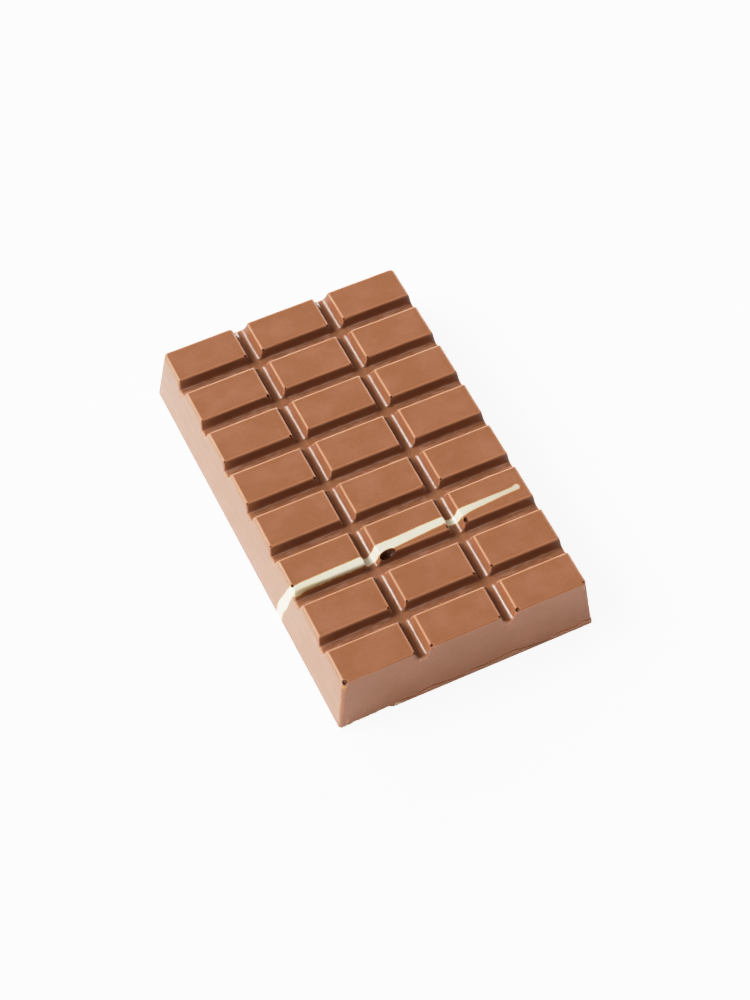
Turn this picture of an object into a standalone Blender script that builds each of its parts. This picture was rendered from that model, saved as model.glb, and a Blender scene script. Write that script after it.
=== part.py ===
"""Thick moulded block of milk chocolate, three squares wide and eight squares long.

The bar lies with its smooth back down. The origin is the middle of that back face:
X runs across the three columns, Y along the eight rows and Z up. Lengths are in metres.
"""
from math import atan2, cos, pi, sin, tan

import bmesh
import bpy
from mathutils import Matrix, Vector

MM = 0.001

# Driving dimensions
COLUMNS = 3
ROWS = 8
HEIGHT = 19.5 * MM
BASE_WIDTH = 74.2 * MM
BASE_LENGTH = 118.4 * MM
TOP_WIDTH = 69.8 * MM
TOP_LENGTH = 114.6 * MM
TOP_SHIFT = 0.35 * MM  # the top lies this much further along +Y than the back

# The breaking grooves have straight sloping walls. The long ones run into a round floor, and the
# cross ones into a flat floor with a small fillet along each wall.
GROOVE_OPENING = 4.4 * MM
GROOVE_DEPTH = 2.8 * MM
LONG_FILLET_RADIUS = 1.6 * MM
LONG_FILLET_SEGMENTS = 4
CROSS_FILLET_RADIUS = 0.45 * MM
CROSS_FILLET_SEGMENTS = 3

# Rounding that the mould leaves on the block; the lips are the grooves' upper edges
UPRIGHT_EDGE_RADIUS = 1.2 * MM
UPRIGHT_EDGE_SEGMENTS = 4
RIM_RADIUS = 0.9 * MM
RIM_SEGMENTS = 3
LIP_RADIUS = 0.4 * MM
LIP_SEGMENTS = 3

CUTTER_OVERSHOOT = 2.0 * MM
MERGE_DISTANCE = 0.00001

COLUMN_PITCH = (TOP_WIDTH + GROOVE_OPENING) / COLUMNS
ROW_PITCH = (TOP_LENGTH + GROOVE_OPENING) / ROWS


def clear_scene():
    for scene_object in list(bpy.data.objects):
        bpy.data.objects.remove(scene_object, do_unlink=True)


def new_collection(name):
    collection = bpy.data.collections.new(name)
    bpy.context.scene.collection.children.link(collection)
    return collection


def object_from_bmesh(name, shape, collection):
    bmesh.ops.recalc_face_normals(shape, faces=shape.faces[:])
    mesh = bpy.data.meshes.new(name)
    shape.to_mesh(mesh)
    shape.free()
    made = bpy.data.objects.new(name, mesh)
    collection.objects.link(made)
    return made


def chocolate_material():
    """Satin milk chocolate."""
    material = bpy.data.materials.new("milk_chocolate")
    material.use_nodes = True
    shader = material.node_tree.nodes["Principled BSDF"]
    shader.inputs["Base Color"].default_value = (0.434, 0.175, 0.079, 1.0)
    shader.inputs["Roughness"].default_value = 0.42
    shader.inputs["Metallic"].default_value = 0.0
    return material


def mould_block(collection):
    """The block before its grooves: wider at the back, so that it drops out of the mould."""
    shape = bmesh.new()
    bmesh.ops.create_cube(shape, size=1.0)
    for vert in shape.verts:
        upper = vert.co.z > 0.0
        width = TOP_WIDTH if upper else BASE_WIDTH
        length = TOP_LENGTH if upper else BASE_LENGTH
        vert.co = Vector((vert.co.x * width, vert.co.y * length, HEIGHT if upper else 0.0))
        vert.co.y += TOP_SHIFT if upper else 0.0

    def height_span(edge):
        return abs(edge.verts[0].co.z - edge.verts[1].co.z)

    upright = [edge for edge in shape.edges if height_span(edge) > HEIGHT / 2]
    bmesh.ops.bevel(shape, geom=upright, affect="EDGES", offset=UPRIGHT_EDGE_RADIUS,
                    segments=UPRIGHT_EDGE_SEGMENTS, profile=0.5, material=-1)
    top_face = max(shape.faces, key=lambda face: face.calc_center_median().z)
    bmesh.ops.bevel(shape, geom=list(top_face.edges), affect="EDGES", offset=RIM_RADIUS,
                    segments=RIM_SEGMENTS, profile=0.5, material=-1)
    return object_from_bmesh("chocolate_bar", shape, collection)


def wall_angle():
    """Slope of every groove wall: the tangent from a long groove's lip to its round floor."""
    rise = GROOVE_DEPTH - LONG_FILLET_RADIUS
    run = GROOVE_OPENING / 2
    distance = (rise * rise + run * run) ** 0.5
    to_centre = atan2(rise, run)
    spread = atan2(LONG_FILLET_RADIUS, (distance ** 2 - LONG_FILLET_RADIUS ** 2) ** 0.5)
    return to_centre + spread


def groove_profile(fillet, segments):
    """Outline of a groove, across and down, from the left lip over the floor to the right."""
    slope = wall_angle()
    wall_foot = GROOVE_DEPTH - fillet * (1 - cos(slope))
    floor_half = GROOVE_OPENING / 2 - wall_foot / tan(slope) - fillet * sin(slope)
    right = []
    for step in range(segments + 1):
        turn = slope * step / segments
        height = HEIGHT - GROOVE_DEPTH + fillet * (1 - cos(turn))
        right.append((floor_half + fillet * sin(turn), height))
    lip_edge = GROOVE_OPENING / 2 + LIP_RADIUS * tan(slope / 2)
    for step in range(LIP_SEGMENTS + 1):
        turn = slope * (1 - step / LIP_SEGMENTS)
        right.append((lip_edge - LIP_RADIUS * sin(turn), HEIGHT - LIP_RADIUS * (1 - cos(turn))))
    right.append((lip_edge, HEIGHT + CUTTER_OVERSHOOT))
    left = [(-across, height) for across, height in reversed(right) if across > MERGE_DISTANCE]
    return left + right


def groove_cutter(name, offset, profile, along_bar, collection):
    """A bar with the groove's cross-section, rounded lips included, longer than the block."""
    shape = bmesh.new()
    reach = (BASE_LENGTH if along_bar else BASE_WIDTH) / 2 + CUTTER_OVERSHOOT
    ring = [shape.verts.new((across, -reach, height)) for across, height in profile]
    end_cap = shape.faces.new(ring)
    pushed = bmesh.ops.extrude_face_region(shape, geom=[end_cap])
    moved = [item for item in pushed["geom"] if isinstance(item, bmesh.types.BMVert)]
    bmesh.ops.translate(shape, verts=moved, vec=(0.0, 2 * reach, 0.0))
    bmesh.ops.translate(shape, verts=shape.verts[:], vec=(offset, 0.0, 0.0))
    if not along_bar:
        quarter_turn = Matrix.Rotation(pi / 2, 3, "Z")
        bmesh.ops.rotate(shape, cent=(0.0, 0.0, 0.0), matrix=quarter_turn, verts=shape.verts[:])
    cutter = object_from_bmesh(name, shape, collection)
    cutter.hide_render = True
    cutter.display_type = "WIRE"
    return cutter


def groove_offsets(count, pitch):
    """Middles of the grooves between `count` squares, measured from the bar's middle."""
    return [(index - (count - 2) / 2) * pitch for index in range(count - 1)]


def cut_grooves(block, collection):
    long_profile = groove_profile(LONG_FILLET_RADIUS, LONG_FILLET_SEGMENTS)
    cross_profile = groove_profile(CROSS_FILLET_RADIUS, CROSS_FILLET_SEGMENTS)
    cutters = []
    for number, offset in enumerate(groove_offsets(COLUMNS, COLUMN_PITCH), start=1):
        cutters.append(groove_cutter(f"long_groove_{number}", offset, long_profile, True, collection))
    for number, offset in enumerate(groove_offsets(ROWS, ROW_PITCH), start=1):
        cutters.append(groove_cutter(f"cross_groove_{number}", offset + TOP_SHIFT, cross_profile,
                                     False, collection))
    for cutter in cutters:
        cut = block.modifiers.new(cutter.name, "BOOLEAN")
        cut.operation = "DIFFERENCE"
        cut.solver = "EXACT"
        cut.object = cutter


def join_seams(block):
    """Merges the doubled points that the cuts leave."""
    weld = block.modifiers.new("join_seams", "WELD")
    weld.merge_threshold = MERGE_DISTANCE


def build():
    clear_scene()
    parts = new_collection("chocolate_bar")
    cutters = new_collection("cutters")
    bar = mould_block(parts)
    bar.data.materials.append(chocolate_material())
    cut_grooves(bar, cutters)
    join_seams(bar)
    bar.data.shade_smooth()
    return bar


build()
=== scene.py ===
# %% [markdown]
# # A thick block of milk chocolate
#
# The real block is cast face down. Melted milk chocolate fills a mould, the back is scraped level,
# and the block shrinks a little as it sets and drops out. Everything the eye notices comes from
# that: sloping sides, deep breaking grooves with soft lips, tiny pits where air was caught in the
# mould's corners, a thin ragged edge where the back overflowed, and a streak of white chocolate
# that was drawn in the mould before the milk chocolate went in.
#
# The measured solid is loaded first. It fixes every size, and the new piece has to fill its box.

# %% Load the measured solid
from math import cos, exp, hypot, pi, radians, sin, sqrt, tan

import bmesh
import bpy
from mathutils import Euler, Matrix, Vector, noise


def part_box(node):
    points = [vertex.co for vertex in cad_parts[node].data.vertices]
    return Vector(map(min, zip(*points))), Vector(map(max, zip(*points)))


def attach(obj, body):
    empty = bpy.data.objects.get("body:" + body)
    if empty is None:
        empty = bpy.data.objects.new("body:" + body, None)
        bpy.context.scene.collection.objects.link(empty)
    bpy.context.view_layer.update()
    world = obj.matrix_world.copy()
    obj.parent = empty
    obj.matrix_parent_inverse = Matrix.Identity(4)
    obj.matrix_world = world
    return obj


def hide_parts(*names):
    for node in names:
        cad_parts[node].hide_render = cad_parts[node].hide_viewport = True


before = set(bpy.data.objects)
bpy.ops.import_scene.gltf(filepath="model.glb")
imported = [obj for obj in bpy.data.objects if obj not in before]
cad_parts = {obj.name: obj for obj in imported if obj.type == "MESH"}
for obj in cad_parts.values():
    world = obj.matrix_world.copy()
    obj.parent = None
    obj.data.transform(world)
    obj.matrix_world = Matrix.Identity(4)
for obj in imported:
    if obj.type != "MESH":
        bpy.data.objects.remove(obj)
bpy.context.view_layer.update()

MM = 0.001
low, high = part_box("chocolate_bar")
HEIGHT = high[2] / MM
BASE_HALF = (high[0] / MM, high[1] / MM)
print("solid, mm:", [round((b - a) / MM, 2) for a, b in zip(low, high)])

# %% [markdown]
# ## The block's own sizes
#
# All shaping is done in millimetres and turned into metres at the end, which keeps the numbers
# readable. The top is smaller than the back on every side, so that the block leaves its mould.

# %% Sizes of the block, mm
COLUMNS = 3
ROWS = 8
TOP_HALF = (34.9, 57.3)
SIDE_LEAN = ((BASE_HALF[0] - TOP_HALF[0]) / HEIGHT, (BASE_HALF[1] - TOP_HALF[1]) / HEIGHT)
SQUARE_GAP = 4.4  # between neighbouring squares, before their lips are rounded
GROOVE_HALF = 2.34
GROOVE_DEEP = 2.8
LONG_FILLET = 1.75
CROSS_FILLET = 0.45
CROSS_SHIFT = -0.08  # the cross grooves lie a touch nearer the front
WALL_LEAN = radians(68.3)
LIP_RADIUS = 0.5
RIM_RADIUS = 0.65
UPRIGHT_RADIUS = (1.3, 0.75)  # at the top and at the back
LONG_FLARE, CROSS_FLARE = 1.1, 0.3  # how far a groove opens where it leaves the block
RIDGE_ROUNDING = 0.9
BOW_ALONG = 0.63
BOW_ACROSS = 0.07
TOP_SHIFT = 0.35  # the top sits this much further along +Y than the back


def groove_middles(count, half):
    """Middles of the grooves between `count` squares."""
    pitch = (2 * half + SQUARE_GAP) / count
    return [(number - count / 2) * pitch for number in range(1, count)]


LONG_GROOVES = groove_middles(COLUMNS, TOP_HALF[0])
CROSS_GROOVES = [middle + CROSS_SHIFT for middle in groove_middles(ROWS, TOP_HALF[1])]
print("long grooves at x", [round(x, 2) for x in LONG_GROOVES])
print("cross grooves at y", [round(y, 2) for y in CROSS_GROOVES])

# %% [markdown]
# ## The shape of one groove
#
# Cut across, a groove is a straight wall, a floor and another straight wall. The long grooves have
# a round floor. The cross grooves have a flat one that meets the walls in a small fillet. The lips
# are softly rounded because chocolate can't fill a sharp corner. One function gives the depth at
# any distance from the groove's middle. A second gives the way any rounded edge falls away.


# %% Depth of a groove, and the fall of a rounded edge
def edge_fall(inside, radius):
    """How far a rounded edge has dropped, `inside` mm in from its outside."""
    if inside >= radius:
        return 0.0
    return radius - sqrt(max(radius ** 2 - (radius - inside) ** 2, 0.0))


LIP_REACH = LIP_RADIUS * tan(WALL_LEAN / 2)


def flat_floor(fillet):
    """Half width of a groove's flat floor, where the fillet starts."""
    wall_foot = GROOVE_DEEP - fillet * (1 - cos(WALL_LEAN))
    return max(0.0, GROOVE_HALF - wall_foot / tan(WALL_LEAN) - fillet * sin(WALL_LEAN))


def groove_drop(across, fillet):
    """Depth of a long straight groove, `across` mm from its middle."""
    across = abs(across)
    floor = flat_floor(fillet)
    if across >= GROOVE_HALF + LIP_REACH:
        return 0.0
    if across > GROOVE_HALF - LIP_REACH * cos(WALL_LEAN):
        return LIP_RADIUS - sqrt(LIP_RADIUS ** 2 - (GROOVE_HALF + LIP_REACH - across) ** 2)
    if across > floor + fillet * sin(WALL_LEAN):
        return (GROOVE_HALF - across) * tan(WALL_LEAN)
    if across > floor:
        return GROOVE_DEEP - fillet + sqrt(fillet ** 2 - (across - floor) ** 2)
    return GROOVE_DEEP


for across in (0.0, 1.0, 1.8, 2.2, 2.5):
    print("groove depth", across, "mm from its middle:", round(groove_drop(across, LONG_FILLET), 3))

# %% [markdown]
# ## Where the grid needs its lines
#
# The top is one sheet of squares that is pressed into shape. Lines stand close together where the
# shape turns quickly, over the lips, floors and rims, and far apart on the flats. Both sets of
# grooves use the same spacing, so the corner ridges at each crossing run exactly through points
# of the grid, which keeps them clean.


# %% Grid lines
FLAT_STEP = (0.5, 1.9)  # widest spacing along X and along Y, mm
FLOOR_STEPS, WALL_STEPS, LIP_STEPS = 8, 4, 4
WALL_END = 0.1  # the wall's lines stop this far short of the groove's opening
PAST_LIP = 0.55
RIM_TURNS = range(0, 91, 18)  # degrees round the rim
CORNER_SHARES = (1.1, 0.85, 0.7, 0.55)  # shares of the upright edges' radius


def groove_lines():
    """Distances of the lines from a groove's middle."""
    floor = [LONG_FILLET * sin(WALL_LEAN * step / FLOOR_STEPS) for step in range(FLOOR_STEPS + 1)]
    wall = [floor[-1] + (GROOVE_HALF - WALL_END - floor[-1]) * step / WALL_STEPS
            for step in range(1, WALL_STEPS)]
    lip = [GROOVE_HALF + LIP_REACH - LIP_RADIUS * sin(WALL_LEAN * step / LIP_STEPS)
           for step in range(LIP_STEPS + 1)]
    return floor + wall + lip + [GROOVE_HALF + PAST_LIP]


def grid_lines(half, middles, flat_step):
    """Places of all the lines along one axis, close together only where the shape turns."""
    lines = {side * (half - RIM_RADIUS * (1 - cos(radians(turn))))
             for side in (-1, 1) for turn in RIM_TURNS}
    lines |= {side * (half - UPRIGHT_RADIUS[0] * share)
              for side in (-1, 1) for share in CORNER_SHARES}
    lines |= {middle + side * line for middle in middles for side in (-1, 1)
              for line in groove_lines()}
    lines = sorted({round(line, 4) for line in lines})
    filled = []
    for start, end in zip(lines, lines[1:]):
        pieces = max(1, round((end - start) / flat_step))
        filled += [start + (end - start) * piece / pieces for piece in range(pieces)]
    return filled + [lines[-1]]


LINES_X = grid_lines(TOP_HALF[0], LONG_GROOVES, FLAT_STEP[0])
LINES_Y = grid_lines(TOP_HALF[1], CROSS_GROOVES, FLAT_STEP[1])
print("grid of", len(LINES_X), "by", len(LINES_Y), "lines")

# %% [markdown]
# ## The height of the top, anywhere
#
# The depth at a point is the deeper of the two grooves that pass it. Taking the plain maximum
# would give knife-sharp ridges where walls meet, so near a tie the two are blended, which rounds
# the ridge. The grooves flare a little where they leave through the sides. The rim rolls over,
# more tightly at the grooves' ends, and the whole block is bowed by a little over half a
# millimetre from shrinking as it set.


# %% Height of the top
RIM_SHRINK = 0.6  # how much tighter the rim is at the ends of the grooves
RIDGE_MARGIN = 0.05
DRAG_DEEP = 0.05
DRAG_START = 1.5  # marks show only below this depth
DRAG_WIDE, DRAG_LONG = 0.45, 6
UNEVEN_DEEP, UNEVEN_SIZE = 0.03, 9
BOX_MARGIN = 0.01  # keeps the finished surface just inside the solid's box
END_SIZE, END_CHANGE = 0.75, 0.35
LONG_NUMBER = 9  # the long grooves are numbered from here, so they differ from the cross ones


def blended(deep, shallow):
    """The deeper of two depths, with the ridge between them rounded."""
    width = min(RIDGE_ROUNDING, 1.5 * shallow, 4 * (GROOVE_DEEP + RIDGE_MARGIN - deep))
    if width <= 0 or deep - shallow >= width:
        return deep
    return deep + width / 4 * (1 - (deep - shallow) / width) ** 2


def flared(distance, inside, radius):
    """Distance from a groove's middle, less where the groove opens towards its end."""
    return max(0.0, abs(distance) - edge_fall(max(inside, 0.0), radius))


def end_size(number, side):
    """Each groove's end opens a little differently."""
    return END_SIZE + END_CHANGE * sin(number * 2.3 + side * 1.1)


def top_drop(x, y):
    """How far the grooves and the rim take the top down at a point."""
    inside_x, inside_y = TOP_HALF[0] - abs(x), TOP_HALF[1] - abs(y)
    along, cross = [], []
    for number, middle in enumerate(LONG_GROOVES, start=LONG_NUMBER):
        across = flared(x - middle, inside_y, LONG_FLARE * end_size(number, y > 0))
        along.append(groove_drop(across, LONG_FILLET))
    for number, middle in enumerate(CROSS_GROOVES):
        across = flared(y - middle, inside_x, CROSS_FLARE * end_size(number, x > 0))
        cross.append(groove_drop(across, CROSS_FILLET))
    shallow, deep = sorted((max(along), max(cross)))
    rim = RIM_RADIUS * (1 - RIM_SHRINK * min(1.0, deep))
    return blended(deep, shallow) + edge_fall(max(min(inside_x, inside_y), 0.0), rim)


def drag_marks(x, y, drop):
    """Fine marks along the grooves' floors, from sliding out of the mould."""
    if drop < DRAG_START:
        return 0.0
    if min(abs(x - middle) for middle in LONG_GROOVES) < GROOVE_HALF:
        stretched = Vector((x / DRAG_WIDE, y / DRAG_LONG, 0.0))
    else:
        stretched = Vector((x / DRAG_LONG, y / DRAG_WIDE, 5.0))
    return DRAG_DEEP * min(1.0, drop - DRAG_START) * noise.noise(stretched)


def top_height(x, y):
    """Height of the finished top above the table."""
    bow = BOW_ALONG * (y / TOP_HALF[1]) ** 2 + BOW_ACROSS * (x / TOP_HALF[0]) ** 2
    drop = top_drop(x, y)
    uneven = UNEVEN_DEEP * (noise.noise(Vector((x, y, 0.0)) / UNEVEN_SIZE) - 0.5)
    return HEIGHT - BOX_MARGIN - bow - drop + uneven + drag_marks(x, y, drop)


print("top in the middle of a square:", round(top_height(0.0, 7.4), 2), "mm")

# %% [markdown]
# ## Press the sheet into shape
#
# `create_grid` makes the sheet, and its points are moved to the chosen lines and heights. The
# four upright corners are rounded by sliding the points of a small square onto a quarter circle.
# Each point also remembers which way is outwards, for the sides. Points close to a side start to
# lean out with it, so that the grooves' ends follow the slope of the sides.

# %% Sheet for the top
LEAN_CLEAR = 1.0  # the lean starts this far outside the outermost groove
LEAN_WIDTH = 2.5  # and takes in this much of the top beside the sides


def rounded_corner(x, y):
    """Slides a point near an upright edge onto the rounding; gives its place and outward way."""
    core = [half - UPRIGHT_RADIUS[0] for half in TOP_HALF]
    past = [max(abs(x) - core[0], 0.0), max(abs(y) - core[1], 0.0)]
    signs = (1 if x > 0 else -1, 1 if y > 0 else -1)
    length = hypot(*past)
    if past[0] > 0 and past[1] > 0:
        scale = max(past) / length
        outward = (signs[0] * past[0] / length, signs[1] * past[1] / length)
        return signs[0] * (core[0] + past[0] * scale), signs[1] * (core[1] + past[1] * scale), outward
    if past[0] >= past[1]:
        return x, y, (signs[0], 0.0)
    return x, y, (0.0, signs[1])


def leaning(x, y, outward):
    """How far the sides have moved outwards here, for each millimetre below the top."""
    sharpening = (UPRIGHT_RADIUS[0] - UPRIGHT_RADIUS[1]) / HEIGHT
    moves = []
    for axis, (place, middles) in enumerate(((x, LONG_GROOVES), (y, CROSS_GROOVES))):
        start = middles[-1] + GROOVE_HALF + LEAN_CLEAR
        end = TOP_HALF[axis] - UPRIGHT_RADIUS[0]
        share = max(0.0, min(1.0, (abs(place) - start) / (end - start)))
        move = share * (SIDE_LEAN[axis] + sharpening * (1 - abs(outward[axis])))
        moves.append(move if place > 0 else -move)
    return Vector((moves[0], moves[1], 0.0))


block = bmesh.new()
outward_layer = block.verts.layers.float_vector.new("outward")
leaning_layer = block.verts.layers.float_vector.new("leaning")
home_layer = block.verts.layers.float_vector.new("home")
bmesh.ops.create_grid(block, x_segments=len(LINES_X) - 1, y_segments=len(LINES_Y) - 1, size=1.0)
for vert in block.verts:
    column = round((vert.co.x + 1) / 2 * (len(LINES_X) - 1))
    row = round((vert.co.y + 1) / 2 * (len(LINES_Y) - 1))
    x, y = LINES_X[column], LINES_Y[row]
    height = top_height(x, y)
    x, y, outward = rounded_corner(x, y)
    lean = leaning(x, y, outward)
    vert[outward_layer] = (outward[0], outward[1], 0.0)
    vert[leaning_layer] = lean
    vert[home_layer] = (x, y, height)
    near_side = 1 - min(1.0, min(TOP_HALF[0] - abs(x), TOP_HALF[1] - abs(y)) / LEAN_WIDTH)
    vert.co = Vector((x, y, height)) + lean * max(near_side, 0.0) * (HEIGHT - height)
print("sheet:", len(block.faces), "faces")

# %% [markdown]
# ## Where the poured back ran over
#
# Low on the front face the poured back has run over a little: its thin edge stands just proud of
# the face, with a fine crack above it and a ragged upper line. The bottom edge is sharp where the
# back was scraped clean, and worn away at the front, left of the overrun. Both are read from short
# tables along the face, with some noise on top, because a scraper leaves no straight line.

# %% Edge of the poured back along the front, mm: place along X and height above the table
OVERRUN = [(-23.0, 0.45), (-20.9, 0.75), (-18.3, 1.75), (-15.8, 0.8), (-13.4, 1.8), (-10.5, 2.15),
           (-7.6, 1.75), (-4.6, 1.35), (-1.2, 1.15), (0.6, 2.05), (3.9, 1.7), (13.5, 2.45),
           (18.9, 1.25), (22.8, 0.9), (25.0, 2.0), (29.2, 1.55), (31.0, 2.05), (33.7, 2.6),
           (36.2, 2.3)]
OVERRUN_PROUD = 0.2
CRACK_DEEP = 0.35

# Rounding of the bottom edge along the front, mm: place along X and radius
FRONT_EDGE = [(-37.0, 0.5), (-35.5, 1.0), (-31.0, 1.15), (-26.0, 0.95), (-22.0, 1.5), (-20.3, 0.35),
              (-3.5, 0.25), (4.0, 0.3), (20.0, 0.3), (35.0, 0.4), (36.6, 0.8)]
EDGE_RADIUS = 0.35
EDGE_UNEVEN = 0.35
FRONT_FACING = -0.5  # the overrun is only where a side faces the front at least this much
OVERRUN_FADE = 2.0


def along_table(table, x):
    """Value at `x` in a table of (x, value) rows, with eased steps between them."""
    if x <= table[0][0]:
        return table[0][1]
    for (start, first), (end, second) in zip(table, table[1:]):
        if x <= end:
            share = (x - start) / (end - start)
            return first + (second - first) * share * (0.5 + share * (1.5 - share))
    return table[-1][1]


def overrun_height(x):
    """Height of the overrun's ragged upper line: coarse waves, and finer ones on them."""
    ragged = 0.3 * noise.noise(Vector((x / 1.1, 0.0, 3.0)))
    ragged += 0.16 * noise.noise(Vector((x * 1.9, 4.0, 0.0)))
    return along_table(OVERRUN, x) + ragged


def overrun_amount(x, outward_y):
    """1 where the back has run over the front face, fading to 0 at the left end."""
    if outward_y > FRONT_FACING:
        return 0.0
    return max(0.0, min(1.0, (x - OVERRUN[0][0]) / OVERRUN_FADE))


def edge_radius(x, y, outward_y):
    """Rounding of the bottom edge, a little uneven all the way round."""
    uneven = 1 + EDGE_UNEVEN * noise.noise(Vector((x, y, 8.0)) / 1.6)
    front = min(1.0, max(0.0, -outward_y))
    return uneven * (EDGE_RADIUS * (1 - front) + along_table(FRONT_EDGE, x) * front)


print("overrun, mm high:", [round(overrun_height(x), 2) for x in (-20, -10, 0, 10, 20, 30)])

# %% [markdown]
# ## Pull down the sides
#
# The border of the sheet is extruded down ring by ring. Eight rings carry the smooth part of the
# sides, which has long shallow waves in it. The next eight are closer together and shape the crack
# and the overrun, and the last five turn round the bottom edge. One face then closes the back.

# %% Rings of the sides
UPPER_RINGS = 8
UPPER_END = 1.0  # the smooth part stops this far above the overrun
LOWEST_EDGE = 0.08  # the closer rings stay this far above the rounded bottom edge
RIPPLE_DEEP = 0.05

# Each ring: how far above the overrun's upper line, and how proud of the side
EDGE_RINGS = [(0.7, 0.0), (0.26, 0.0), (0.22, -0.9 * CRACK_DEEP), (0.08, -CRACK_DEEP),
              (0.0, -0.4 * CRACK_DEEP), (-0.03, 0.5 * OVERRUN_PROUD), (-0.1, 0.95 * OVERRUN_PROUD),
              (-0.35, OVERRUN_PROUD)]
BOTTOM_TURNS = (0, 22, 45, 68, 90)
LIMIT = (BASE_HALF[0] - BOX_MARGIN, BASE_HALF[1] - BOX_MARGIN)


def pull_ring(border, place):
    """Extrudes the border down by one ring. `place` gives a point's height and how proud it is."""
    made = bmesh.ops.extrude_edge_only(block, edges=border)["geom"]
    border = [item for item in made if isinstance(item, bmesh.types.BMEdge) and item.is_boundary]
    for vert in {vert for edge in border for vert in edge.verts}:
        home, outward = vert[home_layer], vert[outward_layer]
        height, proud = place(home, outward)
        flat = home + vert[leaning_layer] * (HEIGHT - height) + outward * proud
        vert.co = Vector((max(-LIMIT[0], min(LIMIT[0], flat.x)),
                          max(-LIMIT[1], min(LIMIT[1], flat.y)), height))
    return border


def side_ripple(home, height):
    """Long shallow waves in the sides, mostly running along them."""
    return RIPPLE_DEEP * noise.noise(Vector((home.x / 20, home.y / 30, height / 3)))


border = [edge for edge in block.edges if edge.is_boundary]
for ring in range(1, UPPER_RINGS + 1):
    def upper(home, outward, share=ring / UPPER_RINGS):
        lowest = overrun_height(home.x) + UPPER_END
        height = home.z + (lowest - home.z) * share
        return height, side_ripple(home, height) * min(1.0, 2 * share, 3 * (1 - share))
    border = pull_ring(border, upper)
for above, proud in EDGE_RINGS:
    def edge_ring(home, outward, above=above, proud=proud):
        lowest = edge_radius(home.x, home.y, outward.y) + LOWEST_EDGE
        height = max(overrun_height(home.x) + above, lowest + 0.1 * above)
        return height, proud * overrun_amount(home.x, outward.y)
    border = pull_ring(border, edge_ring)
for turn in BOTTOM_TURNS:
    def bottom(home, outward, turn=radians(turn)):
        radius = edge_radius(home.x, home.y, outward.y)
        proud = OVERRUN_PROUD * overrun_amount(home.x, outward.y)
        return radius * (1 - sin(turn)), proud - radius * (1 - cos(turn))
    border = pull_ring(border, bottom)
back = bmesh.ops.contextual_create(block, geom=border)["faces"]
print("block:", len(block.faces), "faces; back closed with", len(back), "face")

# %% [markdown]
# ## Shift the top
#
# The block isn't quite even: its top sits a third of a millimetre further back than its base. A
# matrix that adds a share of the height to the place along Y shifts all its points at once.

# %% Shift the top
shear = Matrix.Identity(4)
shear[1][2] = TOP_SHIFT / HEIGHT
bmesh.ops.transform(block, matrix=shear, verts=block.verts[:])
print("top shifted by", TOP_SHIFT, "mm")

# %% [markdown]
# ## Hand over the block
#
# The finished sheet is checked for holes, its faces are turned outwards, and it is scaled to metres.


# %% Helpers that finish a mesh
def slot_and_ride(piece):
    """Fixes a piece to the block."""
    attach(piece, "root")


def new_piece(name, shape, material=None):
    """Makes an object from a bmesh that was shaped in millimetres."""
    bmesh.ops.scale(shape, vec=(MM, MM, MM), verts=shape.verts[:])
    mesh = bpy.data.meshes.new(name)
    shape.to_mesh(mesh)
    shape.free()
    piece = bpy.data.objects.new(name, mesh)
    bpy.context.scene.collection.objects.link(piece)
    if material:
        mesh.materials.append(material)
    return piece


open_edges = sum(1 for edge in block.edges if not edge.is_manifold)
bmesh.ops.recalc_face_normals(block, faces=block.faces[:])
print("edges that don't join two faces:", open_edges, " volume, cm3:",
      round(block.calc_volume() / 1000, 1))
block_piece = new_piece("milk_chocolate_block", block)

# %% [markdown]
# ## Pits left by trapped air
#
# Air collects in the mould's deepest corners, which are the corners of the squares, and leaves a
# small round pit there. Each is cut with a little stretched ball. One joined cutter and one
# exact Boolean give every pit a crisp edge.

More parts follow.
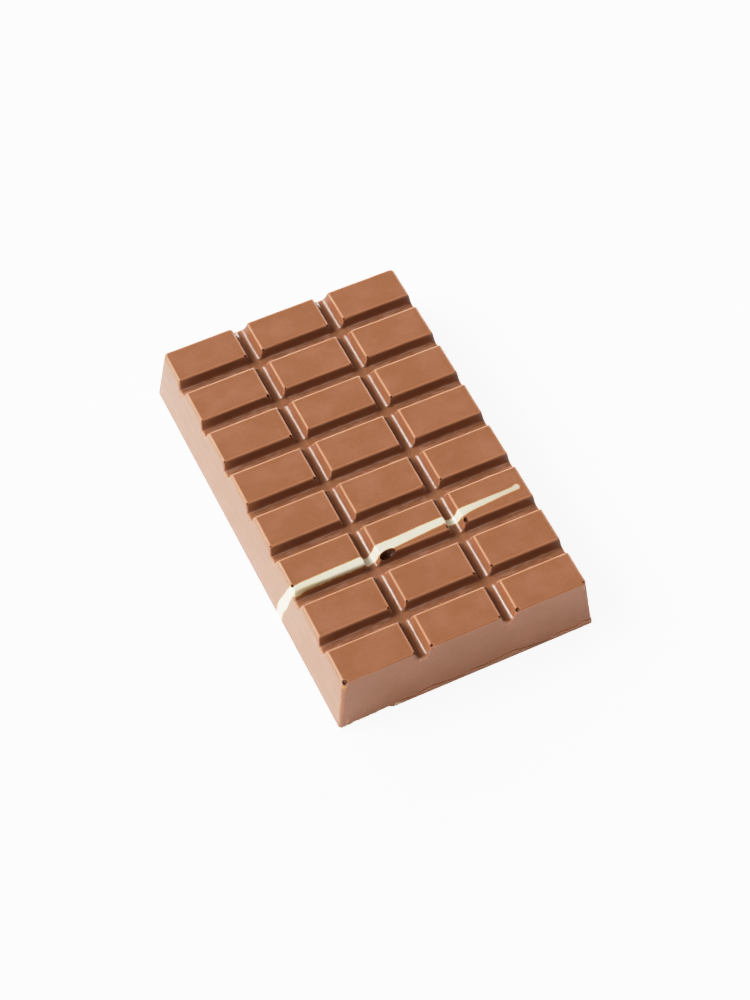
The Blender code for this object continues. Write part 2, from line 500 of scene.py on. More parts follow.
# %% Pits: place x and y, width, length and depth in mm, turn in degrees
PITS = [
    (-15.0, 46.95, 0.75, 0.75, 0.6, 0), (-9.75, 46.75, 0.6, 0.6, 0.5, 0),
    (9.75, 46.75, 0.5, 0.6, 0.45, 0), (14.9, 46.95, 0.65, 0.65, 0.55, 0),
    (-15.0, 31.95, 0.8, 1.2, 0.8, 20), (-9.75, 32.1, 0.6, 0.6, 0.5, 0),
    (9.7, 31.9, 0.4, 0.5, 0.4, 0), (15.0, 32.05, 0.65, 0.65, 0.55, 0),
    (-15.1, 17.15, 0.7, 0.8, 0.6, 10), (-9.75, 16.95, 0.6, 0.6, 0.5, 0),
    (14.9, 17.15, 0.65, 0.65, 0.5, 0), (-34.6, 17.15, 0.5, 0.5, 0.4, 0),
    (-15.0, 2.15, 0.75, 0.75, 0.6, 0), (-34.6, 2.35, 0.5, 0.5, 0.4, 0),
    (-34.6, -12.4, 0.5, 0.5, 0.4, 0), (15.0, -12.55, 0.65, 0.65, 0.5, 0),
    (9.75, -12.5, 0.4, 0.5, 0.4, 0), (-34.5, 32.0, 0.4, 0.4, 0.35, 0),
    (-34.5, 46.8, 0.4, 0.4, 0.35, 0), (-34.5, -25.75, 0.9, 1.0, 0.7, 0),
    (-14.8, -25.3, 0.35, 0.35, 0.3, 0), (-15.0, -28.3, 0.5, 0.4, 0.4, 0),
    (-7.9, -27.35, 4.9, 2.2, 2.4, 9), (15.2, -26.85, 1.25, 1.8, 1.1, -12),
    (9.8, -26.7, 0.5, 1.5, 0.6, 0),
    (-14.9, -42.25, 0.8, 0.8, 0.65, 0), (-9.75, -42.4, 0.65, 0.65, 0.55, 0),
    (9.7, -42.35, 0.65, 0.75, 0.6, 0), (14.9, -42.15, 0.75, 0.75, 0.6, 0),
    (-34.35, -56.85, 1.3, 1.5, 1.1, 45), (-14.75, -56.8, 0.7, 0.7, 0.6, 0),
    (-9.75, -56.75, 0.95, 0.85, 0.8, 30), (9.7, -56.75, 0.7, 0.7, 0.6, 0),
    (14.9, -56.75, 1.3, 1.2, 1.0, 30), (34.2, -56.8, 0.6, 0.6, 0.5, 0),
]
STREAK_BUBBLES = [  # smaller ones, in the white streak
    (-27.0, -27.55, 0.3, 0.3, 0.25, 0), (-29.5, -27.5, 0.25, 0.3, 0.2, 0),
    (-25.6, -27.75, 0.2, 0.2, 0.15, 0), (-17.0, -26.4, 0.25, 0.25, 0.2, 0),
]


def pit_cutter():
    """All the stretched balls in one mesh."""
    cutter = bmesh.new()
    for x, y, width, length, depth, turn in PITS + STREAK_BUBBLES:
        place = shear @ Matrix.Translation((x, y, top_height(x, y)))
        size = Matrix.Diagonal((width / 2, length / 2, depth, 1.0))
        bmesh.ops.create_icosphere(cutter, subdivisions=3, radius=1.0,
                                   matrix=place @ Matrix.Rotation(radians(turn), 4, "Z") @ size)
    return cutter


SHARP_ANGLE = radians(40)  # only the pits' edges are sharper than this
pits = new_piece("pit_cutter", pit_cutter())
cut = block_piece.modifiers.new("pits", "BOOLEAN")
cut.operation = "DIFFERENCE"
cut.solver = "EXACT"
cut.object = pits
evaluated = block_piece.evaluated_get(bpy.context.evaluated_depsgraph_get())
cut_mesh = bpy.data.meshes.new_from_object(evaluated)
block_piece.modifiers.clear()
block_piece.data = cut_mesh
bpy.data.objects.remove(pits, do_unlink=True)
cut_mesh.shade_smooth()
cut_mesh.set_sharp_from_angle(angle=SHARP_ANGLE)
triangles = sum(len(face.vertices) - 2 for face in cut_mesh.polygons)
print("block with", len(PITS) + len(STREAK_BUBBLES), "pits:", triangles, "triangles")

# %% [markdown]
# ## Where the edges are, and which points lie in a pit
#
# Every edge of the real block looks a little paler and warmer than its faces: thin chocolate lets
# some light through there, and edges are rubbed first. Both go into the edges' colour, so the
# paler edge is partly wear and partly painted light. The material can't know where the edges
# are, so each point is given a number for how sharply the surface bends outwards at it. The plain
# sides and the grooves' floors are left out, because their small unevenness isn't an edge. A
# second number says how deep in a pit a point lies. It paints shade into the pits, paints a warm
# light on their rims, and stops the white streak's thin skin there.

# %% Numbers stored on the points
BEND_START, BEND_RANGE = 0.2, 0.8  # bends below the start don't count
OWN_SHARE = 0.6  # the rest of a point's number comes from its neighbours
SIDE_TOP = HEIGHT - GROOVE_DEEP - BOW_ALONG - RIM_RADIUS
SIDE_FACING = 0.97
FLOOR_TOP = HEIGHT - 1.9  # floors lie below this
FLOOR_INSET = 1.0  # and this far in from the sides
PIT_TOPS = [top_height(pit[0], pit[1]) for pit in PITS]
SHORT_EDGE = 0.01  # keeps the shortest edges from counting as endlessly sharp
PIT_SPARE = 1.05  # takes in points that lie right on a pit's surface
PIT_FULL = 0.15  # depth at which the number reaches 1


def bend(vert):
    """How sharply the surface bends outwards, per millimetre. Sides and floors count as flat."""
    x, y, z = vert.co / MM
    if z < SIDE_TOP and max(abs(vert.normal.x), abs(vert.normal.y)) > SIDE_FACING:
        return 0.0
    inset = min(TOP_HALF[0] - abs(x), TOP_HALF[1] - abs(y))
    if z < FLOOR_TOP and inset > FLOOR_INSET:
        return 0.0
    total = 0.0
    for edge in vert.link_edges:
        way = (edge.other_vert(vert).co - vert.co) / MM
        total -= 2 * way.dot(vert.normal) / max(way.length_squared, SHORT_EDGE)
    return total / len(vert.link_edges)


def pit_depth(place):
    """Depth below the uncut top, for a point inside one of the pits."""
    x, y, z = place / MM
    y -= TOP_SHIFT * z / HEIGHT
    for pit_top, (pit_x, pit_y, width, length, depth, turn) in zip(PIT_TOPS, PITS):
        if hypot(x - pit_x, y - pit_y) > width + length:
            continue
        aside = Matrix.Rotation(-radians(turn), 2) @ Vector((x - pit_x, y - pit_y))
        if hypot(aside.x * 2 / width, aside.y * 2 / length, (pit_top - z) / depth) < PIT_SPARE:
            return max(0.0, top_height(x, y) - z)
    return 0.0


shape = bmesh.new()
shape.from_mesh(cut_mesh)
shape.normal_update()
# this number paints the edges' colour: partly wear, partly painted light
wear_and_light_layer = shape.verts.layers.float.new("edge_wear_and_light")
pit_layer = shape.verts.layers.float.new("in_pit")
bends = [max(0.0, min(1.0, (bend(vert) - BEND_START) / BEND_RANGE)) for vert in shape.verts]
for vert in shape.verts:
    around = [bends[edge.other_vert(vert).index] for edge in vert.link_edges]
    near = sum(around) / len(around)
    vert[wear_and_light_layer] = OWN_SHARE * bends[vert.index] + (1 - OWN_SHARE) * near
    vert[pit_layer] = min(1.0, pit_depth(vert.co) / PIT_FULL)
shape.to_mesh(cut_mesh)
shape.free()
print("points on edges:", sum(1 for value in bends if value > 0.5))

# %% [markdown]
# ## Colours and nodes
#
# Paint colours are easiest to think of as sRGB hex values, but shader sockets want linear light.
# One function turns one into the other, and one small function adds a node of any kind.


# %% Colours and nodes
def linear(hex_code):
    """A paint colour as linear light, with full opacity."""
    channels = [int(hex_code[start:start + 2], 16) / 255 for start in (1, 3, 5)]
    return [c / 12.92 if c <= 0.04045 else ((c + 0.055) / 1.055) ** 2.4 for c in channels] + [1.0]


def add_node(tree, kind, inputs=(), **settings):
    """Adds a node. `inputs` fills its sockets, in order or by name, with plain values or with what
    other nodes give; a whole node stands for its first output."""
    node = tree.nodes.new("ShaderNode" + kind)
    for name, value in settings.items():
        setattr(node, name, value)
    for socket, value in inputs.items() if isinstance(inputs, dict) else enumerate(inputs):
        value = value.outputs[0] if isinstance(value, bpy.types.Node) else value
        if isinstance(value, bpy.types.NodeSocket):
            tree.links.new(value, node.inputs[socket])
        else:
            node.inputs[socket].default_value = value
    return node


def new_material(name):
    """A material with its node tree and its main shader."""
    material = bpy.data.materials.new(name)
    material.use_nodes = True
    tree = material.node_tree
    return material, tree, tree.nodes["Principled BSDF"]


print("milk chocolate brown as linear light:", [round(c, 3) for c in linear("#825439")])

# %% [markdown]
# ## Patterns, masks and coats of paint
#
# Everything on the block is worked out from the place on it in millimetres, so each pattern keeps
# its real size. A pattern is noise stretched to that size. A mask says where something shows. A
# colour is then built as a painter would do it, coat by coat, each one through its own mask.


# %% Patterns, masks and coats
def pattern(tree, place_mm, sizes, detail=3.0, shift=0.0):
    """Noise from 0 to 1 whose blotches are about `sizes` mm wide along X, Y and Z."""
    scales = [1 / size for size in sizes]
    scaled = add_node(tree, "Mapping", {"Vector": place_mm, "Location": (shift, shift, shift),
                                        "Scale": scales})
    return add_node(tree, "TexNoise", {"Vector": scaled, "Scale": 1.0, "Detail": detail,
                                       "Roughness": 0.55})


def mask(tree, value, start, end, *within):
    """0 where `value` is at `start`, 1 at `end`, soft between; and only inside the other masks."""
    shown = add_node(tree, "MapRange", [value, start, end], interpolation_type="SMOOTHSTEP")
    for other in within:
        shown = add_node(tree, "Math", [shown, other], operation="MULTIPLY")
    return shown


def painted(tree, colour, coats):
    """Lays coats over a colour. Each says where it shows, how thick it is, and its paint."""
    for where, thickness, paint in coats:
        share = add_node(tree, "Math", [where, thickness], operation="MULTIPLY")
        mixed = add_node(tree, "Mix", {0: share, 6: colour, 7: linear(paint)}, data_type="RGBA")
        colour = mixed.outputs[2]
    return colour


# %% [markdown]
# ## Milk chocolate, cast in a polished mould
#
# Tempered chocolate that sets against a mould comes out satin: fat crystals give it a soft sheen.
# Where the block let go of the mould a little late, its tops are cloudy and paler. The walls of
# the grooves are given a painted shade that makes them darker than the tops, the floors carry pale
# smears from sliding out, and a painted highlight runs along the foot of each cross wall. The edges
# are warmer, partly from rubbing and partly as painted light, and duller, as rubbed edges are. This
# cell finds the place on the block and the masks that everything else is built from.

# %% Places and masks on the block
LONG_CLEAR = (2.2, 3.2)  # the cross grooves' marks fade in this far from a long groove's middle
material, tree, shader = new_material("milk_chocolate")
place = add_node(tree, "TexCoord").outputs["Object"]
place_mm = add_node(tree, "VectorMath", {0: place, "Scale": 1 / MM}, operation="SCALE")
x_mm, y_mm, z_mm = add_node(tree, "SeparateXYZ", [place_mm]).outputs
y_top = add_node(tree, "Math", [z_mm, -TOP_SHIFT / HEIGHT, y_mm], operation="MULTIPLY_ADD")
normal = add_node(tree, "NewGeometry").outputs["Normal"]
face_x, _, face_z = add_node(tree, "SeparateXYZ", [normal]).outputs
upward = mask(tree, face_z, 0.35, 0.8)
# edges: partly wear, partly painted light let through by thin chocolate
wear_and_edge_light = add_node(tree, "Attribute", attribute_name="edge_wear_and_light").outputs["Fac"]
in_pit = add_node(tree, "Attribute", attribute_name="in_pit").outputs["Fac"]

from_centre = add_node(tree, "Math", [x_mm], operation="ABSOLUTE")
from_long = add_node(tree, "Math", [from_centre, LONG_GROOVES[1]], operation="SUBTRACT")
from_long = add_node(tree, "Math", [from_long], operation="ABSOLUTE")
off_long = mask(tree, from_long, *LONG_CLEAR)
floors = mask(tree, z_mm, FLOOR_TOP, FLOOR_TOP - 0.3, upward)
# painted shade: steep faces, the walls of the grooves, get a darker brown
painted_wall_shade = mask(tree, face_z, 0.15, 0.3, mask(tree, face_z, 0.98, 0.8))
print("masks so far:", len(tree.nodes), "nodes")

# %% [markdown]
# ## Clouds, flow lines and smears
#
# Five patterns break up the brown. Clouds about 9 mm wide drift over everything, and a fine grain
# of about 1 mm lies on them. The bloom is a softer, paler cloud, on level surfaces only. On the
# long sides the poured chocolate left faint level flow lines, 40 mm long and under 2 mm high. In
# the floors of the cross grooves the smears run along the groove.

# %% Patterns of the milk chocolate
cloud = mask(tree, pattern(tree, place_mm, (9.0, 7.0, 9.0)), 0.42, 0.66)
bloom = mask(tree, pattern(tree, place_mm, (9.0, 6.5, 9.0), 1.5, 31.0), 0.42, 0.82, upward)
fine = mask(tree, pattern(tree, place_mm, (0.9, 0.9, 0.9), 4.0), 0.3, 0.7)
round_block = add_node(tree, "Math", [x_mm, y_mm], operation="ADD")
level = add_node(tree, "CombineXYZ", [round_block, z_mm, 0.0])
turned_away = add_node(tree, "Math", [face_x], operation="ABSOLUTE")
long_side = mask(tree, turned_away, 0.6, 0.9)
flow = mask(tree, pattern(tree, level, (40.0, 1.7, 1.0), 2.0, 3.0), 0.4, 0.66, long_side)
smear = mask(tree, pattern(tree, place_mm, (3.6, 0.8, 2.0), 3.0, 11.0), 0.44, 0.68, floors, off_long)

# %% [markdown]
# ## The painted highlight at the foot of the cross walls
#
# In each cross groove a painted highlight runs along the fillet behind the floor: a pale line
# that stands in for the thin reflection the fillet catches.
# The seven grooves lie a row apart, so wrapping the place along Y at that pitch brings all of them
# onto one, and the line is drawn once. It fades in and out along its length.

# %% Foot lines
FOOT_PLACE = flat_floor(CROSS_FILLET) + 0.1
FOOT_HALF, FOOT_CORE = 0.22, 0.02
FOOT_TOP = HEIGHT - 2.3
row_pitch = CROSS_GROOVES[1] - CROSS_GROOVES[0]
from_first = add_node(tree, "Math", [y_top, CROSS_GROOVES[0]], operation="SUBTRACT")
from_middle = add_node(tree, "Math", [from_first, row_pitch / 2, -row_pitch / 2], operation="WRAP")
from_foot = add_node(tree, "Math", [from_middle, FOOT_PLACE], operation="SUBTRACT")
from_foot = add_node(tree, "Math", [from_foot], operation="ABSOLUTE")
not_side = mask(tree, face_z, 0.2, 0.4)
deep_down = mask(tree, z_mm, FOOT_TOP, FOOT_TOP - 0.2)
patchy = mask(tree, pattern(tree, place_mm, (7.0, 7.0, 7.0), 2.0, 5.0), 0.3, 0.6)
# painted highlight along the foot of each cross wall
painted_foot_highlight = mask(tree, from_foot, FOOT_HALF, FOOT_CORE, not_side, deep_down, off_long, patchy)
print("foot lines every", round(row_pitch, 2), "mm")

# %% [markdown]
# ## The brown itself
# The base drifts between two close browns with the clouds, so that no area looks flat. The other
# coats go over it: grain, bloom, flow lines, painted shade on the groove walls, smears, painted
# highlights at the walls' feet, worn edges with painted edge light, and last painted shade inside
# the pits with painted warm light on their rims.

# %% Coats of the milk chocolate
# painted shade inside the pits, and painted warm light on their rims
painted_pit_shade = mask(tree, in_pit, 0.4, 1.0)
painted_pit_rim_light = mask(tree, in_pit, 0.02, 0.2, mask(tree, in_pit, 0.9, 0.35))
chocolate = painted(tree, linear("#825439"), [
    (cloud, 1.0, "#87593F"),
    (fine, 0.45, "#7C4F34"),
    (bloom, 0.5, "#8E604A"),
    (flow, 0.3, "#90654F"),
    # painted shade on the grooves' walls
    (painted_wall_shade, 0.75, "#784930"),
    (smear, 0.55, "#A0745E"),
    # painted highlight at the foot of the cross walls
    (painted_foot_highlight, 0.5, "#BC9584"),
    # worn edges with painted edge light
    (wear_and_edge_light, 0.7, "#AB6D45"),
    # painted shade inside the pits
    (painted_pit_shade, 0.85, "#4A2413"),
    # painted warm light on the pits' rims
    (painted_pit_rim_light, 0.8, "#B97840"),
])
print("milk chocolate:", len(tree.nodes), "nodes")

# %% [markdown]
# ## The edges of the white streak
#
# The white streak was drawn across the mould before the milk chocolate went in, so it is level
# with the surface and only its colour shows. It climbs the left side, bends over the rim and runs
# across the third row from the front. A table holds its front and back edge at places along X,
# and each edge becomes a smooth curve.

# %% Streak: place x, front edge y and back edge y, mm
STREAK_START, STREAK_END = -37.2, 33.2
STREAK_LOWEST, STREAK_HIGHEST = -30.0, -20.0
STREAK = [
    (-36.86, -23.53, -20.29), (-36.3, -25.05, -21.35), (-35.6, -26.3, -23.4),
    (-35.2, -27.2, -24.5), (-34.8, -28.2, -25.6), (-34.0, -28.2, -25.9), (-31.5, -28.0, -25.75),
    (-27.5, -27.97, -25.65), (-22.5, -27.9, -25.5), (-14.7, -27.8, -25.3), (-12.2, -27.1, -24.6),
    (-10.0, -26.9, -23.9), (-5.0, -26.6, -23.8), (-1.5, -26.3, -23.7), (2.5, -26.0, -23.5),
    (8.5, -25.6, -23.4), (12.0, -25.3, -23.4), (15.2, -25.6, -23.1), (17.5, -25.1, -23.05),
    (21.5, -24.8, -23.0), (25.5, -24.5, -23.0), (29.5, -24.3, -23.0), (31.0, -24.25, -22.85),
    (32.1, -24.25, -22.55), (32.75, -23.95, -22.85), (33.0, -23.4, -23.4),
]


def streak_curve(along, column):
    """One edge of the streak as a curve over its length; gives y in mm."""
    node = add_node(tree, "FloatCurve", {"Value": along})
    curve = node.mapping.curves[0]
    width = STREAK_HIGHEST - STREAK_LOWEST
    points = [((row[0] - STREAK_START) / (STREAK_END - STREAK_START),
               (row[column] - STREAK_LOWEST) / width) for row in STREAK]
    curve.points[0].location = (0.0, points[0][1])
    curve.points[-1].location = (1.0, points[-1][1])
    for point in points:
        curve.points.new(*point)
    node.mapping.update()
    return add_node(tree, "Math", [node, width, STREAK_LOWEST], operation="MULTIPLY_ADD")


along = add_node(tree, "MapRange", [x_mm, STREAK_START, STREAK_END])
front_edge, back_edge = streak_curve(along, 1), streak_curve(along, 2)
print("streak edges drawn through", len(STREAK), "places")

# %% [markdown]
# ## The white streak
#
# White chocolate is cocoa butter, milk and sugar, so it is the colour of cream. The skin is thin:
# its edges are yellower where the brown shows through, and a warm brown halo lies round it where
# the two chocolates melted together. Noise makes both edges wander a little, and the skin is
# missing in the pits.

# %% Where the streak is
WANDER = 0.25
RIGHT_END = 33.1
noisy = add_node(tree, "Math", [pattern(tree, place_mm, (1.3, 1.3, 1.3), 2.0), 0.5],
                 operation="SUBTRACT")
y_moved = add_node(tree, "Math", [noisy, WANDER, y_top], operation="MULTIPLY_ADD")
from_front = add_node(tree, "Math", [y_moved, front_edge], operation="SUBTRACT")
from_back = add_node(tree, "Math", [back_edge, y_moved], operation="SUBTRACT")
from_end = add_node(tree, "Math", [RIGHT_END, x_mm], operation="SUBTRACT")
off_back = mask(tree, z_mm, 0.1, 0.3)
no_pit = mask(tree, in_pit, 0.6, 0.1)


def streak_mask(start, end):
    """1 inside the streak; the change happens between `start` and `end` mm inside its edge."""
    return mask(tree, from_front, start, end, mask(tree, from_back, start, end),
                mask(tree, from_end, start, end), off_back, no_pit)


streak = streak_mask(-0.06, 0.1)
halo = streak_mask(-0.45, 0.0)
edge_tint = add_node(tree, "Math", [1.0, streak_mask(0.0, 0.45)], operation="SUBTRACT")
print("streak, with the masks for its edge and its halo:", len(tree.nodes), "nodes")

# %% [markdown]
# ## Cream coloured, thinner in places
#
# The cream is yellower along the streak's edges. Along its front edge near the left rim, where
# the skin runs out over the groove's wall, it is given a yellow painted shade. It greys at the
# right end, where it is thinnest. The halo goes on the milk chocolate first, and the streak's own
# mask then joins the two colours.

# %% Colour of the streak, and the whole block's colour
# painted shade: the streak on the groove wall near the left rim is painted yellower and darker
painted_streak_wall_shade = mask(tree, x_mm, -22.0, -30.0, mask(tree, from_front, 1.4, 0.2),
                 mask(tree, x_mm, -TOP_HALF[0] - 0.3, -TOP_HALF[0] + 0.3))
thin_end = mask(tree, x_mm, 14.0, 30.0)
white = painted(tree, linear("#CCC5AE"), [
    (cloud, 1.0, "#C8C0A8"),
    (edge_tint, 0.5, "#C9AE78"),
    # painted shade on the groove wall near the left rim
    (painted_streak_wall_shade, 0.6, "#C0AC6E"),
    (thin_end, 0.65, "#AC9B84"),
])
chocolate = painted(tree, chocolate, [(halo, 0.75, "#A3662F")])
colour = add_node(tree, "Mix", {0: streak, 6: chocolate, 7: white}, data_type="RGBA")
tree.links.new(colour.outputs[2], shader.inputs["Base Color"])
print("block with its streak:", len(tree.nodes), "nodes")

# %% [markdown]
# ## Sheen and fine relief
#
# The roughness stays close to 0.2, as on chocolate from a polished mould, with a little more on the
# grain and on the worn edges. The relief is a grain a millimetre and a half wide and hundredths of
# a millimetre deep, and the smears in the grooves stand on it. Cocoa butter's IOR is about 1.46.

# %% Sheen and fine relief
SMOOTH, GRAIN_DULL, WEAR_DULL = 0.19, 0.04, 0.28
GRAIN_SIZE, RELIEF_DEEP, SMEAR_RELIEF = 1.6, 0.025, 0.6
worn = add_node(tree, "Math", [wear_and_edge_light, WEAR_DULL], operation="MULTIPLY")
grainy = add_node(tree, "Math", [fine, GRAIN_DULL, SMOOTH], operation="MULTIPLY_ADD")
rough = add_node(tree, "Math", [grainy, worn], operation="ADD")
tree.links.new(rough.outputs[0], shader.inputs["Roughness"])
shader.inputs["IOR"].default_value = 1.46
soft_grain = pattern(tree, place_mm, (GRAIN_SIZE, GRAIN_SIZE, GRAIN_SIZE), 1.5)
relief = add_node(tree, "Math", [smear, SMEAR_RELIEF, soft_grain], operation="MULTIPLY_ADD")
bump = add_node(tree, "Bump", {"Strength": 0.5, "Distance": RELIEF_DEEP * MM, "Height": relief})
tree.links.new(bump.outputs[0], shader.inputs["Normal"])
cut_mesh.materials.clear()
cut_mesh.materials.append(material)
slot_and_ride(block_piece)
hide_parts("chocolate_bar")
print("milk chocolate finished:", len(tree.nodes), "nodes")

# %% [markdown]
# ## Crumbs on the worn edge
#
# Where the bottom edge is worn, pale crumbs of scraped chocolate still stick to it. Each one is a
# small ball, knocked out of shape with noise, flattened, turned and set half into the surface.
# They are one joined mesh, because they never move apart.

# %% Crumbs: place x, height, length and thickness, mm
CRUMBS = [
    (-36.3, 0.3, 0.55, 0.3), (-35.7, 0.45, 0.8, 0.45), (-35.1, 0.2, 0.5, 0.3), (-34.5, 0.5, 1.0, 0.5),
    (-34.0, 0.22, 0.6, 0.3), (-33.3, 0.35, 0.8, 0.4), (-32.7, 0.75, 0.35, 0.2), (-32.3, 0.25, 0.5, 0.3),
    (-31.5, 0.4, 0.7, 0.3), (-30.6, 0.3, 0.5, 0.25), (-29.8, 0.38, 0.6, 0.25), (-28.7, 0.3, 0.35, 0.2),
    (-26.4, 0.25, 0.3, 0.15), (-20.9, 0.75, 1.1, 0.5), (-20.1, 0.6, 0.7, 0.35), (-19.3, 0.4, 0.4, 0.2),
    (34.6, 0.4, 0.35, 0.2), (36.2, 1.4, 0.4, 0.25),
]
CRUMB_SPREAD, CRUMB_FLAT, CRUMB_TALL = 1.2, 0.4, 1.3
CRUMB_KNOBBLY, CRUMB_KNOBS = 0.5, 2.5  # how deep the knobs are, and how close together


def front_place(x, height):
    """A point on the front face, low down, where the bottom edge is rounded."""
    y = -TOP_HALF[1] - SIDE_LEAN[1] * (HEIGHT - height) + TOP_SHIFT * height / HEIGHT
    radius = edge_radius(x, -TOP_HALF[1], -1.0)
    return Vector((x, y + edge_fall(height, radius), height))


def add_crumb(shape, number, x, height, length, thickness):
    """One crumb: a knobbly ball, flattened, turned its own way and kept off the table."""
    made = bmesh.ops.create_icosphere(shape, subdivisions=3, radius=0.5)["verts"]
    own_noise = Vector((9.0 * number, 0.0, 0.0))
    for vert in made:
        vert.co *= 1 + CRUMB_KNOBBLY * noise.noise(vert.co * CRUMB_KNOBS + own_noise)
    turn = Euler((0.5 * sin(number), 0.9 * sin(2.3 * number), 0.6 * sin(3.1 * number)))
    size = Matrix.Diagonal((CRUMB_SPREAD * length, CRUMB_FLAT, CRUMB_TALL * thickness, 1.0))
    place = Matrix.Translation(front_place(x, height))
    bmesh.ops.transform(shape, matrix=place @ turn.to_matrix().to_4x4() @ size, verts=made)
    for vert in made:
        vert.co.y = max(vert.co.y, -LIMIT[1])
        vert.co.z = max(vert.co.z, BOX_MARGIN)


crumbs = bmesh.new()
for number, numbers in enumerate(CRUMBS):
    add_crumb(crumbs, number, *numbers)
bmesh.ops.recalc_face_normals(crumbs, faces=crumbs.faces[:])

# %% [markdown]
# ## Scraped chocolate
#
# A scraper breaks the satin skin, so the crumbs are dry, pale and dull. Their colour changes in
# spots of a third of a millimetre, about the size of the grains in the broken surface.

# %% Scraped chocolate, dry and pale
crumb_material, crumb_tree, crumb_shader = new_material("scraped_chocolate")
crumb_place = add_node(crumb_tree, "TexCoord").outputs["Object"]
crumb_mm = add_node(crumb_tree, "VectorMath", {0: crumb_place, "Scale": 1 / MM}, operation="SCALE")
crumb_spots = mask(crumb_tree, pattern(crumb_tree, crumb_mm, (0.3, 0.3, 0.3)), 0.35, 0.65)
crumb_colour = painted(crumb_tree, linear("#BE9C7C"), [(crumb_spots, 1.0, "#DCC7A8")])
crumb_tree.links.new(crumb_colour, crumb_shader.inputs["Base Color"])
crumb_shader.inputs["Roughness"].default_value = 0.6
crumb_piece = new_piece("pale_crumbs", crumbs, crumb_material)
crumb_piece.data.shade_smooth()
slot_and_ride(crumb_piece)
print("crumbs:", len(CRUMBS), "in", len(crumb_piece.data.polygons), "faces")

# %% [markdown]
# ## The table
#
# The block lies on a plain white table. The table glows a little, but only to the camera, so the
# block's shadow stays pale while the light that reaches the block is left as it is.

# %% Table
TABLE_HALF = 3000.0
TABLE_GLOW, GLOW_SHARE = 2.5, 0.65
table_shape = bmesh.new()
bmesh.ops.create_grid(table_shape, x_segments=1, y_segments=1, size=TABLE_HALF)
table_material, table_tree, table_shader = new_material("white_table")
table_shader.inputs["Base Color"].default_value = linear("#F0F0F0")
table_shader.inputs["Roughness"].default_value = 0.8
direct = add_node(table_tree, "LightPath").outputs["Is Camera Ray"]
share = add_node(table_tree, "Math", [direct, GLOW_SHARE], operation="MULTIPLY")
glowing = add_node(table_tree, "Emission", {"Strength": TABLE_GLOW})
shown = add_node(table_tree, "MixShader", [share, table_shader, glowing])
table_tree.links.new(shown.outputs[0], table_tree.nodes["Material Output"].inputs["Surface"])
table = new_piece("table", table_shape, table_material)

# %% [markdown]
# ## Soft light from a pale studio
#
# There are no lamps: the light is the studio itself, painted on the world as soft patches, because
# satin chocolate shows the shape of whatever lights it. A soft box stands behind on the left with a
# window on each side and a pale wall below it, so the left side and the grooves' floors shine and
# the walls that face the camera stay dark. A low reflector in front lights the front face, and a
# low pale wall behind on the right fills in the rest.

# %% Soft studio light
SEEN_BRIGHTNESS = 3.0  # the studio where the camera sees it directly
GLOWS = [  # brightness, compass turn from +X, height above the horizon, then how wide and how tall
    ("soft box behind on the left", 31.0, 151, 40, 18, 9),
    ("window to the right of it", 9.3, 120, 33, 22, 14),
    ("window to the left of it", 8.9, 178, 50, 20, 14),
    ("pale wall below it", 3.2, 148, 20, 32, 14),
    ("low reflector in front", 22.0, 250, 3, 30, 5),
    ("low pale wall behind on the right", 50.0, 54, -6, 38, 14),
]

world = bpy.data.worlds.new("soft_studio")
bpy.context.scene.world = world
world.use_nodes = True
sky = world.node_tree
backdrop = sky.nodes["Background"]
way = add_node(sky, "TexCoord").outputs["Generated"]
way_x, way_y, way_z = add_node(sky, "SeparateXYZ", [way]).outputs
compass = add_node(sky, "Math", [way_y, way_x], operation="ARCTAN2")
rise = add_node(sky, "Math", [way_z], operation="ARCSINE")


def glow(brightness, turn, height, wide, tall):
    """A soft patch of light in one direction, fading like a bell curve."""
    turned = add_node(sky, "Math", [compass, radians(turn)], operation="SUBTRACT")
    aside = add_node(sky, "Math", [turned, pi, -pi], operation="WRAP")
    above = add_node(sky, "Math", [rise, radians(height)], operation="SUBTRACT")
    squares = []
    for distance, reach in ((aside, wide), (above, tall)):
        ratio = add_node(sky, "Math", [distance, radians(reach)], operation="DIVIDE")
        squares.append(add_node(sky, "Math", [ratio, 2.0], operation="POWER"))
    far = add_node(sky, "Math", squares, operation="ADD")
    negative = add_node(sky, "Math", [far, -1.0], operation="MULTIPLY")
    fall = add_node(sky, "Math", [negative], operation="EXPONENT")
    return add_node(sky, "Math", [fall, brightness], operation="MULTIPLY")


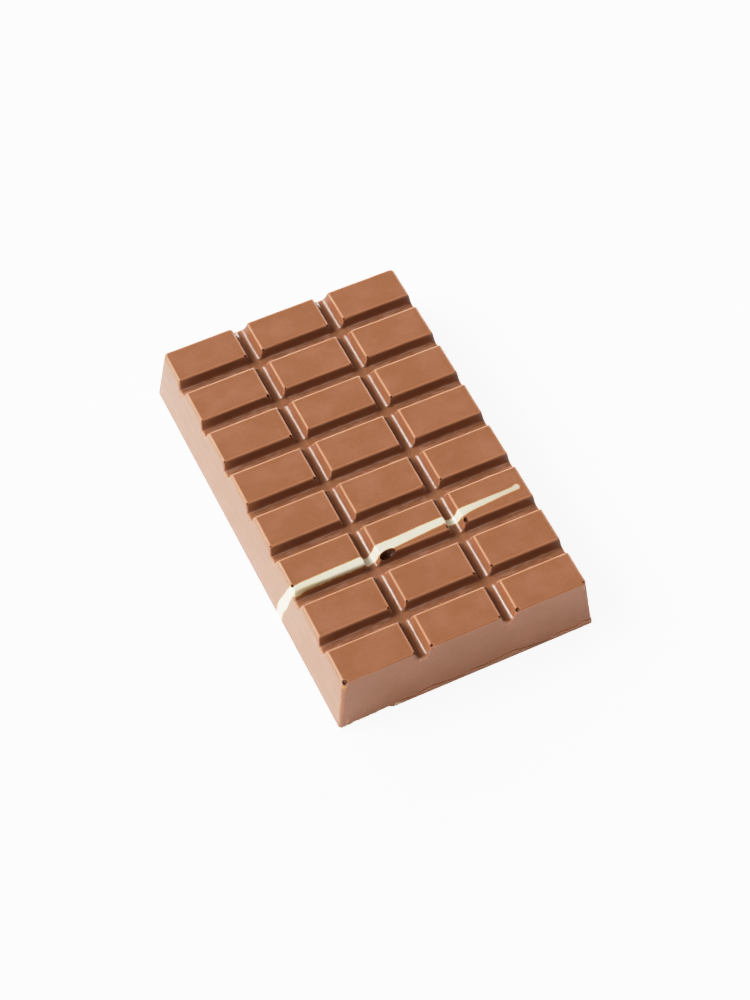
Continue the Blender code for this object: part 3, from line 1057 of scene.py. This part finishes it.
total = 0.0
for name, *numbers in GLOWS:
    total = add_node(sky, "Math", [glow(*numbers), total], operation="ADD")
    print("lit by the", name)
seen = add_node(sky, "LightPath").outputs["Is Camera Ray"]
strength = add_node(sky, "Mix", {0: seen, 2: total, 3: SEEN_BRIGHTNESS}, data_type="FLOAT")
sky.links.new(strength.outputs[0], backdrop.inputs["Strength"])
backdrop.inputs["Color"].default_value = (1.0, 1.0, 1.0, 1.0)

# %% [markdown]
# ## The camera
#
# The camera looks down on the front of the block from nearly 70 cm away, a little from the left.
# Its place is given as the point it aims at, the way back from there and a distance, which is
# easier to read than three turns. It is rolled by about a degree.

# %% Camera
camera = bpy.data.cameras.new("camera")
camera.lens = 92.1
camera.sensor_width = 36.0
camera.clip_start, camera.clip_end = 0.05, 20.0
viewer = bpy.data.objects.new("camera", camera)
bpy.context.scene.collection.objects.link(viewer)
bpy.context.scene.camera = viewer
AIM = Vector((-0.82, -5.17, 9.77)) * MM
AWAY = Vector((-0.2487, -0.4887, 0.8363))
CAMERA_DISTANCE = 686.8 * MM
ROLL = radians(1.306)
viewer.location = AIM + AWAY * CAMERA_DISTANCE
viewer.rotation_mode = "QUATERNION"
viewer.rotation_quaternion = AWAY.to_track_quat("Z", "Y") @ Euler((0, 0, ROLL)).to_quaternion()
print("camera at, mm:", [round(v / MM) for v in viewer.location])

# %% [markdown]
# ## Bright tones
#
# A camera doesn't cut bright tones off: above a middle tone it holds them back more and more, so
# that the pale streak and the shining side keep their shape. A curve in the scene's view settings
# does the same. It leaves everything below `SHOULDER` alone.

# %% View
SHOULDER, WHITEST = 0.4, 2.5
TONES = (0.1, 0.2, 0.3, 0.4, 0.55, 0.7, 0.9, 1.15, 1.5, 1.95)
view = bpy.context.scene.view_settings
view.view_transform = "Standard"
view.look = "None"
view.use_curve_mapping = True
view.curve_mapping.white_level = (WHITEST, WHITEST, WHITEST)
tones = view.curve_mapping.curves[3]


def held_back(light):
    """Where a tone ends up: unchanged below the shoulder, then closer and closer to white."""
    if light < SHOULDER:
        return light
    return SHOULDER + (1 - SHOULDER) * (1 - exp((SHOULDER - light) / (1 - SHOULDER)))


tones.points[-1].location = (1.0, 1.0)
for light in TONES:
    tones.points.new(light / WHITEST, held_back(light))
view.curve_mapping.update()
print("held back:", [round(held_back(light), 3) for light in (0.2, 0.6, 1.0, 2.0)])
